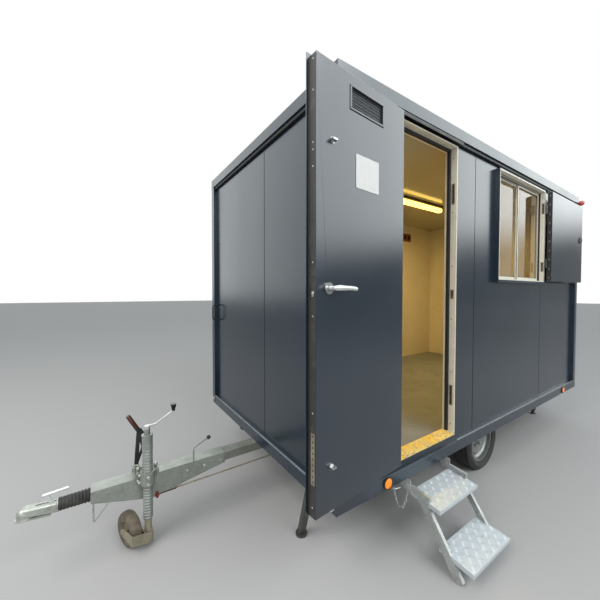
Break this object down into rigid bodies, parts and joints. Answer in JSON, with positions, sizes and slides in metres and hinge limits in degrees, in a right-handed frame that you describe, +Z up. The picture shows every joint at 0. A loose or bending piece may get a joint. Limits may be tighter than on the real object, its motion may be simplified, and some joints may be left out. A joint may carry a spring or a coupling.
{
  "type": "portable site cabin",
  "caption": "Towable steel-framed site cabin on one axle, with a hinged door, a shuttered sliding window, fold-down steps, a drawbar with jockey wheel and corner steadies.",
  "frame": {"origin": "the middle of the overall footprint, on the ground", "axes": "+X points to the rear, away from the towing coupling, +Y to the side without the door, +Z up; the door, window and steps are on the -Y side"},
  "size_m": [5.3324, 2.4852, 2.77],
  "materials": {
    "frame_paint": "semi-gloss dark grey paint",
    "panel_paint": "smooth semi-gloss dark blue-grey sheet",
    "cream_paint": "semi-gloss cream paint",
    "roof_paint": "dull dark grey coated sheet",
    "lining_board": "smooth cream faced board",
    "floor_vinyl": "worn grey vinyl sheet",
    "joist_timber": "sawn softwood",
    "sash_plastic": "satin cream window profile",
    "window_glass": "clear float glass",
    "galvanised": "dull zinc coating with spangle",
    "bright_steel": "satin bright metal",
    "chequer_plate": "bright chequer plate",
    "rim_silver": "silver sprayed steel",
    "tyre_rubber": "black rubber with dust",
    "jockey_rubber": "worn grey-brown rubber",
    "black_rubber": "dull black moulded rubber",
    "black_paint": "dull black paint",
    "amber_lens": "amber moulded lens",
    "red_lens": "red moulded lens",
    "clear_lens": "white moulded lens",
    "diffuser": "milky diffuser",
    "vent_plastic": "grey moulded vent"
  },
  "bodies": {
    "cabin": {"side_rails": "frame_paint", "end_rails": "frame_paint", "corner_posts": "frame_paint", "floor_joists": "joist_timber", "floor_deck": "floor_vinyl", "roof_panel": "roof_paint", "ceiling": "lining_board", "end_walls": "panel_paint", "far_wall": "panel_paint", "door_side_piers": "panel_paint", "walls_under_openings": "panel_paint", "walls_over_openings": "panel_paint", "inner_lining": "lining_board", "door_frame": "cream_paint", "window_frame": "frame_paint", "window_sashes": "sash_plastic", "window_glass": "window_glass", "hinge_plates": "frame_paint", "axle": "galvanised", "drawbar": "galvanised", "coupling_housing": "galvanised", "coupling_shaft": "bright_steel", "coupling_bellows": "black_rubber", "coupling_head": "galvanised", "handbrake_sector": "galvanised", "brake_rod": "galvanised", "jockey_outer_tube": "galvanised", "jockey_clamp": "galvanised", "step_lugs": "galvanised", "corner_steadies": "galvanised", "side_lamps": "amber_lens", "front_lamps": "clear_lens", "marker_lamps": "red_lens", "tie_loops": "black_paint", "light_batten": "diffuser"},
    "door": {"door_leaf": "panel_paint", "door_hinges": "frame_paint", "door_vents": "vent_plastic", "door_furniture": "bright_steel"},
    "door_handle": {"door_lever": "bright_steel"},
    "shutter": {"shutter_leaf": "panel_paint", "shutter_hinges": "frame_paint", "shutter_pull": "bright_steel"},
    "wheel_door_side": {"rim_door_side": "rim_silver", "tyre_door_side": "tyre_rubber"},
    "wheel_far_side": {"rim_far_side": "rim_silver", "tyre_far_side": "tyre_rubber"},
    "coupling_lever": {"coupling_handle": "bright_steel"},
    "handbrake": {"handbrake_lever": "black_paint"},
    "crank": {"jockey_crank": "bright_steel"},
    "jockey_stem": {"jockey_inner_tube": "galvanised"},
    "castor": {"jockey_fork": "galvanised"},
    "castor_wheel": {"jockey_rim": "galvanised", "jockey_tyre": "jockey_rubber"},
    "steps": {"step_sides": "galvanised", "step_treads": "chequer_plate"}
  },
  "joints": [
    {"name": "door_hinge", "type": "hinge", "parent": "cabin", "child": "door", "pos_m": [-0.83375, -0.85738, 0], "axis": [0, 0, 1], "range_deg": [0, 175]},
    {"name": "door_handle_turn", "type": "hinge", "parent": "door", "child": "door_handle", "pos_m": [-1.42972, -0.9296, 1.61], "axis": [-0.0872, 0.9962, 0], "range_deg": [0, 40], "stiffness_Nm_per_rad": 1.2},
    {"name": "shutter_hinge", "type": "hinge", "parent": "cabin", "child": "shutter", "pos_m": [1.53025, -0.85738, 0], "axis": [0, 0, 1], "range_deg": [-180, 0]},
    {"name": "wheel_spin_door_side", "type": "hinge", "parent": "cabin", "child": "wheel_door_side", "pos_m": [0.58625, -0.62438, 0.255], "axis": [0, 1, 0], "continuous": true},
    {"name": "wheel_spin_far_side", "type": "hinge", "parent": "cabin", "child": "wheel_far_side", "pos_m": [0.58625, 0.96962, 0.255], "axis": [0, 1, 0], "continuous": true},
    {"name": "coupling_lever_lift", "type": "hinge", "parent": "cabin", "child": "coupling_lever", "pos_m": [-2.50175, 0.17262, 0.384], "axis": [0, -1, 0], "range_deg": [0, 25]},
    {"name": "handbrake_swing", "type": "hinge", "parent": "cabin", "child": "handbrake", "pos_m": [-2.08375, 0.23662, 0.372], "axis": [0, -1, 0], "range_deg": [0, 70]},
    {"name": "crank_turn", "type": "hinge", "parent": "cabin", "child": "crank", "pos_m": [-2.03075, 0.08062, 0.745], "axis": [0, 0, 1], "continuous": true},
    {"name": "stem_slide", "type": "slide", "parent": "cabin", "child": "jockey_stem", "axis": [0, 0, 1], "range_m": [-0.1, 0.02]},
    {"name": "castor_swivel", "type": "hinge", "parent": "jockey_stem", "child": "castor", "pos_m": [-2.03075, 0.08062, 0.092], "axis": [0, 0, 1], "continuous": true},
    {"name": "castor_wheel_spin", "type": "hinge", "parent": "castor", "child": "castor_wheel", "pos_m": [-2.12937, 0.13785, 0.105], "axis": [0.9272, 0.3746, 0], "continuous": true},
    {"name": "steps_fold", "type": "hinge", "parent": "cabin", "child": "steps", "pos_m": [-0.45275, -0.83738, 0.38], "axis": [-1, 0, 0], "range_deg": [0, 72]}
  ]
}
